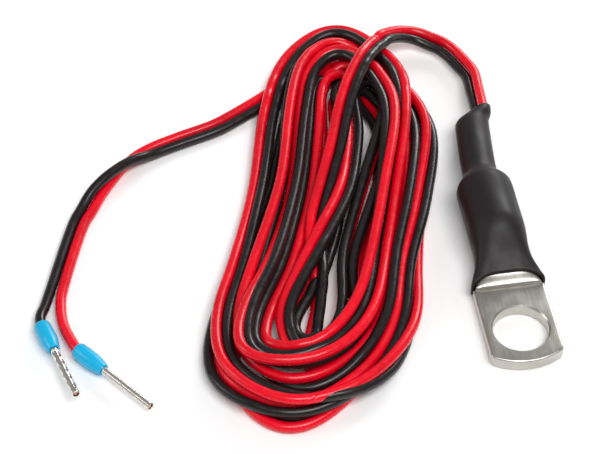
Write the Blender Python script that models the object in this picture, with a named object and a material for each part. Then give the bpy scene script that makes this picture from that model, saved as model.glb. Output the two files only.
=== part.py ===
"""Battery temperature sensor lead: a ring lug with a sensor potted in its barrel, on a two-core cord.

The lug's axis is Y. Its palm points to -Y, the cord leaves its sleeve at +Y, and everything lies
on Z = 0. The origin is the middle of the sensor head's footprint. Blender units are metres; MM
turns millimetres into them.
"""

import math

import bmesh
import bpy
from mathutils import Vector

MM = 0.001
GAP = 0.3  # clearance between pieces that touch on the real lead

# Ring lug
HOLE_DIAMETER = 10.5  # for an M10 stud
HOLE_TO_TIP = 8.0
PALM_WIDTH = 13.7
PALM_THICKNESS = 2.7
PALM_CORNER_RADIUS = 1.2
TIP_ARC_RADIUS = 12.5
TIP_Y = -31.5
PALM_REAR_Y = -13.3
BARREL_RADIUS = 4.7
BARREL_BORE_RADIUS = 3.5
BARREL_AXIS_Z = 5.6
BARREL_MOUTH_Y = 9.0
BORE_BOTTOM_Y = -1.5

# The lug behind its palm, from the flattened neck to the round barrel:
# Y, half width, underside Z, top Z, squareness (2 is round)
LUG_SECTIONS = [
    (-14.2, 5.9, 1.2, 1.9, 5.0),
    (-13.25, 6.4, 0.95, 3.5, 6.0),
    (-12.6, 6.3, 0.9, 3.8, 5.0),
    (-11.0, 5.7, 0.9, 4.4, 4.0),
    (-8.5, 4.8, 0.9, 6.1, 2.8),
    (-6.0, 4.5, 0.9, 8.1, 2.3),
    (-4.0, 4.6, 0.9, 9.5, 2.1),
    (-2.0, 4.7, 0.9, 10.2, 2.0),
    (0.0, 4.7, 0.9, 10.3, 2.0),
    (8.7, 4.7, 0.9, 10.3, 2.0),
    (9.0, 4.5, 1.1, 10.1, 2.0),
]

# Heat-shrink sleeve over the lug and the cord
SLEEVE_WALL = 0.55
SLEEVE_END_WALL = 0.45
SLEEVE_FRONT_Y = -13.0
SLEEVE_FRONT_ARC = 1.6  # how far its front edge bows back from the palm
SLEEVE_END_Y = 31.5

# The sleeve's outside behind the barrel:
# Y, centre X, centre Z, half width, half height, squareness, roll in degrees
SLEEVE_REAR_SECTIONS = [
    (10.2, 0.0, 5.6, 5.1, 5.1, 2.0, 0.0),
    (11.4, 0.0, 5.6, 4.3, 4.25, 2.0, 0.0),
    (12.6, 0.05, 5.55, 3.7, 3.5, 2.0, 0.0),
    (14.0, 0.15, 5.5, 3.45, 3.1, 2.0, 0.0),
    (22.0, 0.95, 5.1, 3.45, 3.05, 2.0, 0.0),
    (27.0, 1.55, 4.8, 3.45, 3.05, 2.0, 0.0),
    (28.6, 1.9, 4.7, 3.4, 2.9, 2.0, 10.0),
    (30.0, 2.95, 4.65, 3.25, 2.45, 2.1, 35.0),
    (SLEEVE_END_Y, 3.85, 4.6, 2.9, 1.85, 2.2, 50.0),
]

# Two-core cord. The cores lie side by side; roll turns the red one up from the right of the way along.
CORE_RADIUS = 1.05
CORE_SPACING = 2.1 + GAP
CONDUCTOR_RADIUS = 0.5
INSULATION_BORE = 0.75
CORE_FRONT_Y = 7.4
CORE_END_Y = 30.4
HEAD_ROUTE = [  # middle of the pair inside the head: X, Y, Z, roll in degrees
    (0.0, CORE_FRONT_Y, 5.6, 0.0),
    (0.0, 10.0, 5.6, 0.0),
    (0.05, 12.6, 5.55, 0.0),
    (0.15, 14.0, 5.5, 0.0),
    (0.95, 22.0, 5.1, 0.0),
    (1.22, 24.5, 4.95, 4.0),
    (1.9, 27.0, 4.8, 27.0),
    (2.4, 28.6, 4.7, 38.0),
    (2.85, 29.4, 4.65, 44.0),
    (3.3, CORE_END_Y, 4.6, 50.0),
]

# Cord from the sleeve to the hank, and on from under the hank to the ferrules
LEAD_ROUTE = [
    (4.1, 31.8, 4.6, 50.0),
    (4.4, 35.0, 4.1, 47.0),
    (4.7, 39.0, 3.4, 43.0),
    (5.0, 44.4, 2.7, 38.0),
    (3.9, 48.3, 2.4, 34.0),
    (2.4, 52.0, 2.3, 30.0),
    (0.7, 54.4, 2.4, 27.0),
    (-1.2, 55.8, 2.6, 24.0),
    (-3.5, 57.1, 3.1, 20.0),
    (-5.9, 57.3, 3.9, 16.0),
    (-8.8, 56.1, 5.4, 12.0),
    (-11.9, 53.5, 7.2, 8.0),
]
TAIL_ROUTE = [
    (-35.8, 46.8, 1.1, 0.0),
    (-38.1, 45.3, 1.1, 0.0),
    (-43.8, 41.8, 1.1, 0.0),
    (-49.4, 38.8, 1.1, 0.0),
    (-56.8, 36.4, 1.1, 0.0),
    (-63.1, 34.0, 1.3, -10.0),
    (-67.6, 31.1, 2.0, -50.0),
    (-71.4, 27.5, 2.25, -90.0),
    (-74.8, 23.6, 2.0, -130.0),
    (-77.4, 19.6, 1.3, -170.0),
    (-80.0, 14.6, 1.1, -180.0),
    (-81.6, 10.2, 1.1, -180.0),
    (-82.9, 6.2, 1.1, -180.0),
]
RED_END_ROUTE = [(-83.3, 1.0, 1.1), (-84.2, -4.0, 1.1), (-84.0, -8.6, 1.2), (-82.9, -12.6, 1.5)]
BLACK_END_ROUTE = [(-85.9, 0.4, 1.1), (-87.2, -3.4, 1.2), (-88.2, -6.0, 1.5)]
CORD_POINT_STEP = 4.8  # along the free stretches

# Hank: the outline wraps these discs, given as X, Y and radius
HANK_DISCS = [
    (-20.0, 50.5, 12.3),
    (-31.0, 43.0, 8.8),
    (-13.8, 33.0, 9.0),
    (-29.5, -18.5, 11.0),
    (-42.0, -22.3, 17.6),
]
HANK_HEIGHT = 8.0
HANK_OUTLINE_STEPS = 72

# Bootlace ferrules: back of the collar, and the way each points
RED_FERRULE = ((-82.0, -15.0, 1.7), (0.62, -0.785, 0.0))
BLACK_FERRULE = ((-88.1, -8.2, 1.72), (0.262, -0.958, 0.1))
COLLAR_PROFILE = [(0.0, 1.4), (0.4, 1.62), (4.3, 1.68), (5.4, 1.55), (7.1, 1.22)]  # along, radius
COLLAR_CORD_BORE = 1.35
COLLAR_TUBE_BORE = 0.96
COLLAR_BORE_STEP = 4.3
CORD_IN_COLLAR = 4.0
FERRULE_TUBE = (4.6, 19.4)  # from the collar's back
FERRULE_TUBE_RADIUS = 0.75
FERRULE_TUBE_BORE = 0.58
STRANDS = (4.4, 19.2)
STRANDS_RADIUS = 0.33

# Sensor in the barrel
POTTING_RADIUS = 3.2
POTTING_FRONT_Y = -1.2
POTTING_REAR_Y = 7.9
POCKET_RADIUS = 2.65
POCKET_FRONT_Y = -0.6
CHIP_RADIUS = 2.3
CHIP_FLAT = 1.5  # from its axis to its flat side
CHIP_Y = (-0.3, 4.0)
LEG_PITCH = CORE_SPACING / 2
LEG_SIDE = 0.44
LEG_Y = (4.3, 5.9)
TRIMMED_LEG_Y = (4.3, 5.0)
SOLDER_Y = (6.2, 6.9)
SOLDER_RADIUS = 0.5
CONDUCTOR_FRONT_Y = 7.2
JOINT_SLEEVE_Y = (5.3, 7.1)
JOINT_SLEEVE_RADII = (0.8, 1.0)
INNER_SLEEVE_Y = (8.2, 23.4)
INNER_SLEEVE_HALF_WIDTH = 2.45
INNER_SLEEVE_HALF_HEIGHT = 1.25
INNER_SLEEVE_WALL = 0.3

LUG_SIDES = 40
CORD_SIDES = 12
SMALL_SIDES = 16


def material(name, colour, roughness, metallic=0.0):
    made = bpy.data.materials.new(name)
    made.use_nodes = True
    shader = made.node_tree.nodes["Principled BSDF"]
    shader.inputs["Base Color"].default_value = (*colour, 1.0)
    shader.inputs["Roughness"].default_value = roughness
    shader.inputs["Metallic"].default_value = metallic
    made.diffuse_color = (*colour, 1.0)
    return made


def add_object(name, mesh, finish):
    made = bpy.data.objects.new(name, mesh)
    bpy.context.scene.collection.objects.link(made)
    mesh.materials.append(finish)
    mesh.shade_smooth()
    mesh.set_sharp_from_angle(angle=math.radians(35))
    return made


def loft(name, rings, closed=False):
    """A skin over rings of equally many points, in millimetres, capped at its ends unless closed."""
    bm = bmesh.new()
    rows = [[bm.verts.new(Vector(point) * MM) for point in ring] for ring in rings]
    count = len(rows[0])
    pairs = list(zip(rows, rows[1:]))
    if closed:
        pairs.append((rows[-1], rows[0]))
    for low, high in pairs:
        for i in range(count):
            j = (i + 1) % count
            bm.faces.new((low[i], low[j], high[j], high[i]))
    if not closed:
        bm.faces.new(rows[0])
        bm.faces.new(rows[-1])
    bmesh.ops.recalc_face_normals(bm, faces=bm.faces)
    mesh = bpy.data.meshes.new(name)
    bm.to_mesh(mesh)
    bm.free()
    return mesh


def signed_power(value, power):
    return math.copysign(abs(value) ** power, value)


def section_point(angle, centre_x, y, centre_z, half_width, half_height, squareness, roll=0.0):
    """A point of a rounded section in the XZ plane, at an angle seen from the section's middle."""
    local = angle - roll
    u = half_width * signed_power(math.cos(local), 2 / squareness)
    v = half_height * signed_power(math.sin(local), 2 / squareness)
    x = u * math.cos(roll) - v * math.sin(roll)
    z = u * math.sin(roll) + v * math.cos(roll)
    return (centre_x + x, y, centre_z + z)


def ring_angles(sides):
    return [2 * math.pi * i / sides for i in range(sides)]


def between(rows, y):
    """The row for a Y, worked out in a straight line between the rows of a table sorted by Y."""
    if y <= rows[0][0]:
        return rows[0][1:]
    for low, high in zip(rows, rows[1:]):
        if y <= high[0]:
            part = (y - low[0]) / (high[0] - low[0])
            return tuple(a + (b - a) * part for a, b in zip(low[1:], high[1:]))
    return rows[-1][1:]


def catmull_rom(points, steps=12):
    """A smooth curve through points, as closely spaced points."""
    points = [Vector(point) for point in points]
    padded = [2 * points[0] - points[1], *points, 2 * points[-1] - points[-2]]
    curve = []
    for a, b, c, d in zip(padded, padded[1:], padded[2:], padded[3:]):
        for i in range(steps):
            t = i / steps
            bend = (2 * a - 5 * b + 4 * c - d) * t**2 + (3 * b - a - 3 * c + d) * t**3
            curve.append(0.5 * (2 * b + (c - a) * t + bend))
    return [*curve, points[-1]]


def core_points(route, side):
    """Where one core of the pair runs: side is 1 for red and -1 for black."""
    middles = [Vector(row[:3]) for row in route]
    cores = []
    for i, (middle, row) in enumerate(zip(middles, route)):
        along = (middles[min(i + 1, len(middles) - 1)] - middles[max(i - 1, 0)]).normalized()
        right = along.cross(Vector((0, 0, 1))).normalized()
        roll = math.radians(row[3])
        aside = right * math.cos(roll) + right.cross(along) * math.sin(roll)
        cores.append(middle + aside * (side * CORE_SPACING / 2))
    return cores


def evenly_spaced(curve, step):
    """Points along a dense curve, about one step apart, with both ends kept."""
    lengths = [0.0]
    for a, b in zip(curve, curve[1:]):
        lengths.append(lengths[-1] + (b - a).length)
    count = max(2, round(lengths[-1] / step))
    spaced = []
    place = 0
    for i in range(count + 1):
        target = lengths[-1] * i / count
        while place < len(curve) - 2 and lengths[place + 1] < target:
            place += 1
        part = (target - lengths[place]) / (lengths[place + 1] - lengths[place])
        spaced.append(curve[place].lerp(curve[place + 1], part))
    return spaced


def ring_round(centre, along, radius, sides):
    """A ring of points round a centre, square to the way along."""
    side = along.cross(Vector((0, 0, 1)))
    side = side.normalized() if side.length > 1e-6 else Vector((1, 0, 0))
    up = side.cross(along)
    return [centre + (side * math.cos(a) + up * math.sin(a)) * radius for a in ring_angles(sides)]


def turned(name, start, along, profile, sides):
    """A piece turned about a line, from (distance along, radius) pairs in order round its section."""
    start, along = Vector(start), Vector(along).normalized()
    return loft(name, [ring_round(start + along * s, along, r, sides) for s, r in profile], closed=True)


def rod(name, start, along, low, high, radius, sides):
    start, along = Vector(start), Vector(along).normalized()
    return loft(name, [ring_round(start + along * s, along, radius, sides) for s in (low, high)])


def rings_along(points, radius, sides):
    """Rings of one radius round the points of a run, each square to it."""
    rings = []
    for i, point in enumerate(points):
        along = (points[min(i + 1, len(points) - 1)] - points[max(i - 1, 0)]).normalized()
        rings.append(ring_round(point, along, radius, sides))
    return rings


def box(name, centre, size):
    bm = bmesh.new()
    bmesh.ops.create_cube(bm, size=1.0)
    for vert in bm.verts:
        vert.co = Vector(c + v * s for c, v, s in zip(centre, vert.co, size)) * MM
    mesh = bpy.data.meshes.new(name)
    bm.to_mesh(mesh)
    bm.free()
    return mesh


def boolean(target, tool, operation):
    tool.hide_render = True
    tool.display_type = "WIRE"
    made = target.modifiers.new(operation.title(), "BOOLEAN")
    made.operation = operation
    made.solver = "EXACT"
    made.object = tool


def palm_outline():
    """The palm seen from above: straight sides, a tip on a large arc, and rounded corners between them."""
    half = PALM_WIDTH / 2
    arc_centre = Vector((0, TIP_Y + TIP_ARC_RADIUS))
    corner_x = half - PALM_CORNER_RADIUS
    reach = TIP_ARC_RADIUS - PALM_CORNER_RADIUS
    corner = Vector((corner_x, arc_centre.y - math.sqrt(reach**2 - corner_x**2)))
    meet = math.atan2(corner.y - arc_centre.y, corner.x - arc_centre.x)
    right = [Vector((half, PALM_REAR_Y))]
    corner_steps, tip_steps = 5, 12
    for i in range(corner_steps + 1):
        angle = meet * i / corner_steps
        right.append(corner + PALM_CORNER_RADIUS * Vector((math.cos(angle), math.sin(angle))))
    tip = []
    for i in range(1, tip_steps):
        angle = meet + (-math.pi - 2 * meet) * i / tip_steps
        tip.append(arc_centre + TIP_ARC_RADIUS * Vector((math.cos(angle), math.sin(angle))))
    left = [Vector((-point.x, point.y)) for point in reversed(right)]
    return right + tip + left


def make_ring_lug(finish):
    outline = palm_outline()
    palm = loft("ring_lug", [[(p.x, p.y, z) for p in outline] for z in (0.0, PALM_THICKNESS)])
    lug = add_object("ring_lug", palm, finish)
    neck_rings = []
    for y, half_width, low, high, squareness in LUG_SECTIONS:
        size = (half_width, (high - low) / 2, squareness)
        middle = (low + high) / 2
        neck_rings.append([section_point(a, 0.0, y, middle, *size) for a in ring_angles(LUG_SIDES)])
    neck = add_object("neck_tool", loft("neck_tool", neck_rings), finish)
    boolean(lug, neck, "UNION")
    along = Vector((0, 1, 0))
    bore_rings = [
        ring_round(Vector((0, y, BARREL_AXIS_Z)), along, BARREL_BORE_RADIUS, LUG_SIDES)
        for y in (BORE_BOTTOM_Y, BARREL_MOUTH_Y + 2)
    ]
    boolean(lug, add_object("bore_tool", loft("bore_tool", bore_rings), finish), "DIFFERENCE")
    hole_rings = [
        ring_round(Vector((0, TIP_Y + HOLE_TO_TIP, z)), Vector((0, 0, 1)), HOLE_DIAMETER / 2, 48)
        for z in (-1.0, PALM_THICKNESS + 1)
    ]
    boolean(lug, add_object("hole_tool", loft("hole_tool", hole_rings), finish), "DIFFERENCE")


def sleeve_sections():
    """The sleeve's outside all along, in rows like those of SLEEVE_REAR_SECTIONS."""
    offset = GAP + SLEEVE_WALL
    rows = []
    for y, half_width, low, high, squareness in LUG_SECTIONS[1:-1]:
        size = (half_width + offset, (high - low) / 2 + offset, squareness)
        rows.append((y, 0.0, (low + high) / 2, *size, 0.0))
    return rows + SLEEVE_REAR_SECTIONS


def make_outer_sleeve(finish):
    rows = sleeve_sections()
    stations = [SLEEVE_FRONT_Y, -12.0, -10.0, *(row[0] for row in rows[4:])]
    arc_fades_out_y = -8.0

    def ring(y, inset):
        points = []
        for angle in ring_angles(LUG_SIDES):
            bow = SLEEVE_FRONT_ARC * math.sin(angle) ** 2
            fade = max(0.0, (arc_fades_out_y - y) / (arc_fades_out_y - SLEEVE_FRONT_Y))
            at = y + bow * fade
            x, z, half_width, half_height, squareness, roll = between(rows, at)
            thin = SLEEVE_END_WALL if y > 28 else SLEEVE_WALL
            size = (half_width - inset * thin, half_height - inset * thin, squareness)
            points.append(section_point(angle, x, at, z, *size, math.radians(roll)))
        return points

    outside = [ring(y, 0.0) for y in stations]
    inside = [ring(y, 1.0) for y in reversed(stations)]
    add_object("outer_sleeve", loft("outer_sleeve", outside + inside, closed=True), finish)


def make_inner_sleeve(finish):
    rows = [(y, x, z) for x, y, z, _ in HEAD_ROUTE]
    stations = [INNER_SLEEVE_Y[0], 10.0, 12.6, 14.0, 18.0, 22.0, INNER_SLEEVE_Y[1]]

    def ring(y, wall):
        x, z = between(rows, y)
        size = (INNER_SLEEVE_HALF_WIDTH + wall, INNER_SLEEVE_HALF_HEIGHT + wall, 2.6)
        return [section_point(angle, x, y, z, *size) for angle in ring_angles(24)]

    outside = [ring(y, INNER_SLEEVE_WALL) for y in stations]
    inside = [ring(y, 0.0) for y in reversed(stations)]
    add_object("inner_sleeve", loft("inner_sleeve", outside + inside, closed=True), finish)


def make_head_core(colour_name, side, insulation, copper):
    route = catmull_rom(core_points(HEAD_ROUTE, side), steps=3)
    outside = rings_along(route, CORE_RADIUS, SMALL_SIDES)
    inside = rings_along(route, INSULATION_BORE, SMALL_SIDES)
    name = f"core_{colour_name}_end"
    add_object(name, loft(name, outside + inside[::-1], closed=True), insulation)
    front = route[0].copy()
    front.y = CONDUCTOR_FRONT_Y
    name = f"conductor_{colour_name}_head"
    rings = rings_along([front, *route[1:]], CONDUCTOR_RADIUS, CORD_SIDES)
    add_object(name, loft(name, rings), copper)


def make_sensor(plastic, tin, solder, shrink):
    """A three-leg sensor in a D-shaped case, lying along the barrel. The middle leg is cut short."""
    flat_angle = math.acos(CHIP_FLAT / CHIP_RADIUS)
    arc_steps = 20
    outline = []
    for i in range(arc_steps + 1):
        angle = math.pi / 2 + flat_angle + (2 * math.pi - 2 * flat_angle) * i / arc_steps
        outline.append((CHIP_RADIUS * math.cos(angle), BARREL_AXIS_Z + CHIP_RADIUS * math.sin(angle)))
    case = loft("sensor_chip", [[(x, y, z) for x, z in outline] for y in CHIP_Y])
    add_object("sensor_chip", case, plastic)
    legs = {
        "sensor_lead_positive": (LEG_PITCH, LEG_Y),
        "sensor_lead_negative": (-LEG_PITCH, LEG_Y),
        "sensor_lead_trimmed": (0.0, TRIMMED_LEG_Y),
    }
    for name, (x, (low, high)) in legs.items():
        centre = (x, (low + high) / 2, BARREL_AXIS_Z)
        add_object(name, box(name, centre, (LEG_SIDE, high - low, LEG_SIDE)), tin)
    along = Vector((0, 1, 0))
    for colour_name, side in (("red", 1), ("black", -1)):
        start = (side * LEG_PITCH, 0.0, BARREL_AXIS_Z)
        name = f"solder_joint_{colour_name}"
        low, high = SOLDER_Y
        middle = (low + high) / 2
        rings = [
            ring_round(Vector(start) + along * y, along, r, CORD_SIDES)
            for y, r in ((low, SOLDER_RADIUS * 0.6), (middle, SOLDER_RADIUS), (high, SOLDER_RADIUS * 0.8))
        ]
        add_object(name, loft(name, rings), solder)
        name = f"joint_sleeve_{colour_name}"
        bore, outer = JOINT_SLEEVE_RADII
        low, high = JOINT_SLEEVE_Y
        profile = [(low, outer), (high, outer), (high, bore), (low, bore)]
        add_object(name, turned(name, start, along, profile, SMALL_SIDES), shrink)


def make_potting(resin):
    """The resin that fills the barrel, with the hollow that the sensor leaves, open to the rear."""
    along = Vector((0, 1, 0))
    profile = [
        (POTTING_FRONT_Y, POTTING_RADIUS),
        (POTTING_REAR_Y, POTTING_RADIUS),
        (POTTING_REAR_Y, POCKET_RADIUS),
        (POCKET_FRONT_Y, POCKET_RADIUS),
    ]
    rings = [ring_round(Vector((0, y, BARREL_AXIS_Z)), along, r, 24) for y, r in profile]
    add_object("thermal_potting", loft("thermal_potting", rings), resin)


def hank_outline():
    """The outline round the hank's discs: for each way out, the furthest point of any disc."""
    outline = []
    for i in range(HANK_OUTLINE_STEPS):
        angle = 2 * math.pi * i / HANK_OUTLINE_STEPS
        way = Vector((math.cos(angle), math.sin(angle)))
        x, y, radius = max(HANK_DISCS, key=lambda disc: Vector(disc[:2]).dot(way) + disc[2])
        outline.append(Vector((x, y)) + way * radius)
    return outline


def outside_hank(point, outline):
    """How far a point lies outside the hank's outline, or less than 0 within it."""
    furthest = -math.inf
    for a, b in zip(outline, outline[1:] + outline[:1]):
        edge = b - a
        if edge.length > 1e-6:
            way = Vector((edge.y, -edge.x)).normalized()
            furthest = max(furthest, (Vector(point[:2]) - a).dot(way))
    return furthest


def make_cord(name, points, finish):
    """A free stretch of one core, as a round curve with filled ends."""
    curve = bpy.data.curves.new(name, "CURVE")
    curve.dimensions = "3D"
    curve.bevel_depth = CORE_RADIUS * MM
    curve.bevel_resolution = 2
    curve.use_fill_caps = True
    spline = curve.splines.new("POLY")
    spline.points.add(len(points) - 1)
    for place, point in zip(spline.points, points):
        place.co = (*(point * MM), 1.0)
    curve.materials.append(finish)
    made = bpy.data.objects.new(name, curve)
    bpy.context.scene.collection.objects.link(made)


def make_cords(finishes):
    outline = hank_outline()
    hank = loft("cable_hank", [[(p.x, p.y, z) for p in outline] for z in (0.0, HANK_HEIGHT)])
    add_object("cable_hank", hank, finishes["black"])
    clear = CORE_RADIUS + GAP
    ends = {"red": (1, RED_END_ROUTE, RED_FERRULE), "black": (-1, BLACK_END_ROUTE, BLACK_FERRULE)}
    for colour_name, (side, end_route, (back, along)) in ends.items():
        finish = finishes[colour_name]
        lead = [p for p in catmull_rom(core_points(LEAD_ROUTE, side)) if outside_hank(p, outline) > clear]
        make_cord(f"cable_{colour_name}_lead", evenly_spaced(lead, CORD_POINT_STEP), finish)
        back, along = Vector(back), Vector(along).normalized()
        in_collar = [back, back + along * (CORD_IN_COLLAR / 2), back + along * CORD_IN_COLLAR]
        run = core_points(TAIL_ROUTE, side) + [Vector(point) for point in end_route] + in_collar
        tail = [p for p in catmull_rom(run) if outside_hank(p, outline) > clear]
        make_cord(f"cable_{colour_name}_tail", evenly_spaced(tail, CORD_POINT_STEP), finish)


def make_ferrule(colour_name, ferrule, plastic, tin, copper):
    back, along = ferrule
    length = COLLAR_PROFILE[-1][0]
    profile = COLLAR_PROFILE + [
        (length, COLLAR_TUBE_BORE),
        (COLLAR_BORE_STEP, COLLAR_TUBE_BORE),
        (COLLAR_BORE_STEP, COLLAR_CORD_BORE),
        (0.0, COLLAR_CORD_BORE),
    ]
    name = f"ferrule_collar_{colour_name}"
    add_object(name, turned(name, back, along, profile, SMALL_SIDES), plastic)
    name = f"ferrule_tube_{colour_name}"
    low, high = FERRULE_TUBE
    profile = [
        (low, FERRULE_TUBE_RADIUS),
        (high, FERRULE_TUBE_RADIUS),
        (high, FERRULE_TUBE_BORE),
        (low, FERRULE_TUBE_BORE),
    ]
    add_object(name, turned(name, back, along, profile, SMALL_SIDES), tin)
    name = f"strands_{colour_name}"
    add_object(name, rod(name, back, along, *STRANDS, STRANDS_RADIUS, CORD_SIDES), copper)


def main():
    for existing in list(bpy.data.objects):
        bpy.data.objects.remove(existing, do_unlink=True)
    tin = material("tin_plate", (0.62, 0.6, 0.56), 0.32, 1.0)
    copper = material("copper", (0.72, 0.38, 0.24), 0.35, 1.0)
    solder = material("solder", (0.6, 0.6, 0.6), 0.3, 1.0)
    shrink = material("heat_shrink", (0.03, 0.025, 0.027), 0.5)
    resin = material("potting_resin", (0.05, 0.05, 0.055), 0.4)
    case = material("sensor_case", (0.02, 0.02, 0.02), 0.6)
    collar = material("ferrule_blue", (0.0, 0.4, 0.8), 0.3)
    cord = {
        "red": material("cord_red", (0.8, 0.0, 0.03), 0.35),
        "black": material("cord_black", (0.02, 0.02, 0.022), 0.35),
    }
    make_ring_lug(tin)
    make_outer_sleeve(shrink)
    make_inner_sleeve(shrink)
    make_potting(resin)
    make_sensor(case, tin, solder, shrink)
    make_cords(cord)
    for colour_name, side, ferrule in (("red", 1, RED_FERRULE), ("black", -1, BLACK_FERRULE)):
        make_head_core(colour_name, side, cord[colour_name], copper)
        make_ferrule(colour_name, ferrule, collar, tin, copper)


main()
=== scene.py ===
"""The looks of the battery temperature sensor lead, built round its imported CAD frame.

The lug's axis is Y: its palm points to -Y, and the cord leaves the sleeve at +Y. Everything lies on Z = 0.
The cord's free stretches are in metres. Tables of sections and of the hank are in millimetres, and MM makes
them metres.
"""

import math

import bmesh
import bpy
import numpy as np
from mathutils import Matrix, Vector


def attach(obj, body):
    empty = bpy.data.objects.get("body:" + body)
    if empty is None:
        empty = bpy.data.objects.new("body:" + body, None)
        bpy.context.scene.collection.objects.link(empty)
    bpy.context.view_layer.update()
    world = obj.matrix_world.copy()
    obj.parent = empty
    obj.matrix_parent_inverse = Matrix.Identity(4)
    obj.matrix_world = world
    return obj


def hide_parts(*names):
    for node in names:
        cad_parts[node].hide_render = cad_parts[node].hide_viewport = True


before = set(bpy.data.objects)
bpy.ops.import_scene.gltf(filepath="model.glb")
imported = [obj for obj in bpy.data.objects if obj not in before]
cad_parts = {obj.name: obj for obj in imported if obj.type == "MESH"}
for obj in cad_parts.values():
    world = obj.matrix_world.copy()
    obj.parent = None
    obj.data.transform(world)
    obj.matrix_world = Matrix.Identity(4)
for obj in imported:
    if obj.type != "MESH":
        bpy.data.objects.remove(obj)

MM = 0.001
BODY = "root"

# Camera: it looks down at a point on the floor from this far away
CAMERA_TARGET = (-0.03629, 0.01020, 0.0)
CAMERA_DISTANCE = 0.4
CAMERA_ELEVATION = 48.0
CAMERA_AZIMUTH = -9.0
CAMERA_LENS = 122.4

# Floor and light
FLOOR_HALF = 3.0
FLOOR_COLOUR = (0.97, 0.97, 0.97, 1.0)
WHITE = (1.0, 1.0, 1.0)
WORLD_STRENGTH = 0.3
LIGHT_AIM = (-0.035, 0.01, 0.0)
SOFTBOXES = [  # name, place, size, power in watts, colour
    ("softbox_front", (0.09, -0.34, 0.72), (0.6, 0.3), 5.0, WHITE),
    ("softbox_back", (0.52, 0.72, 0.42), (0.5, 0.3), 4.6, WHITE),
    ("softbox_left", (-0.8, 0.15, 0.5), (0.3, 0.4), 1.4, (1.0, 0.99, 0.98)),
]

# Two-core cord. The cores lie side by side; roll turns the red one up from the right of the way along.
CORE_RADIUS = 0.00105
HALF_PAIR = 0.00105
CORD_SIDES = 16
SKIN_SHARE = 0.985  # of the core's radius, for its visible skin
PARTNER_REACH = 2.4  # core radii: the other core is followed only when it is nearer than this
LEAD_ROUTE = [  # from the sleeve to the hank: X, Y, Z, roll in degrees
    (0.0041, 0.0318, 0.0046, 50.0),
    (0.0044, 0.0350, 0.0041, 47.0),
    (0.0047, 0.0390, 0.0034, 43.0),
    (0.0050, 0.0444, 0.0027, 38.0),
    (0.0039, 0.0483, 0.0024, 34.0),
    (0.0024, 0.0520, 0.0023, 30.0),
    (0.0007, 0.0544, 0.0024, 27.0),
    (-0.0012, 0.0558, 0.0026, 24.0),
    (-0.0035, 0.0571, 0.0031, 20.0),
    (-0.0059, 0.0573, 0.0039, 16.0),
    (-0.0088, 0.0561, 0.0054, 12.0),
    (-0.0119, 0.0535, 0.0072, 8.0),
]
TAIL_ROUTE = [  # from under the hank to where the cores part
    (-0.0358, 0.0468, 0.0011, 0.0),
    (-0.0381, 0.0453, 0.0011, 0.0),
    (-0.0438, 0.0418, 0.0011, 0.0),
    (-0.0494, 0.0388, 0.0011, 0.0),
    (-0.0568, 0.0364, 0.0011, 0.0),
    (-0.0631, 0.0340, 0.0013, -10.0),
    (-0.0676, 0.0311, 0.0020, -50.0),
    (-0.0714, 0.0275, 0.00225, -90.0),
    (-0.0748, 0.0236, 0.0020, -130.0),
    (-0.0774, 0.0196, 0.0013, -170.0),
    (-0.0800, 0.0146, 0.0011, -180.0),
    (-0.0816, 0.0102, 0.0011, -180.0),
    (-0.0829, 0.0062, 0.0011, -180.0),
]
RED_END_ROUTE = [
    (-0.0833, 0.0010, 0.0011),
    (-0.0842, -0.0040, 0.0011),
    (-0.0840, -0.0086, 0.0012),
    (-0.0829, -0.0126, 0.0015),
]
BLACK_END_ROUTE = [(-0.0859, 0.0004, 0.0011), (-0.0872, -0.0034, 0.0012), (-0.0882, -0.0060, 0.0015)]
CORD_IN_COLLAR = 0.0040
END_POINTS = 12  # of the shared path that the core's own end takes the place of
END_GUIDE_STEP = 4  # between those of them that the end still passes
END_STEPS = 12

# Bootlace ferrules: back of the collar, and the way each points
RED_FERRULE = ((-0.0820, -0.0150, 0.0017), (0.62, -0.785, 0.0))
BLACK_FERRULE = ((-0.0881, -0.0082, 0.00172), (0.262, -0.958, 0.1))

# The hank's turns pass these stations in this order: a point of its outline, then one of its inner loop,
# in millimetres
STATIONS = {
    "T": ((-19.5, 62.3), (-21.5, 46.5)),
    "TL": ((-31.5, 56.0), (-25.0, 44.0)),
    "UL": ((-38.9, 40.5), (-27.0, 36.0)),
    "L": ((-43.9, 20.5), (-33.0, 17.0)),
    "ML": ((-50.4, 1.0), (-39.5, -2.5)),
    "LL": ((-57.0, -13.0), (-45.3, -13.0)),
    "BL": ((-58.0, -27.5), (-43.5, -19.5)),
    "B": ((-46.5, -39.4), (-38.5, -21.5)),
    "BR": ((-30.5, -33.8), (-33.5, -18.0)),
    "LR": ((-20.0, -21.5), (-31.0, -11.0)),
    "MR": ((-15.2, -5.0), (-28.0, -1.5)),
    "R": ((-9.6, 10.5), (-22.0, 15.0)),
    "UR": ((-5.3, 31.0), (-17.5, 33.0)),
    "TR": ((-8.0, 48.5), (-15.5, 43.5)),
}
MAIN_STATIONS = ["T", "TL", "L", "ML", "BL", "B", "BR", "MR", "R", "UR"]
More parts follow.
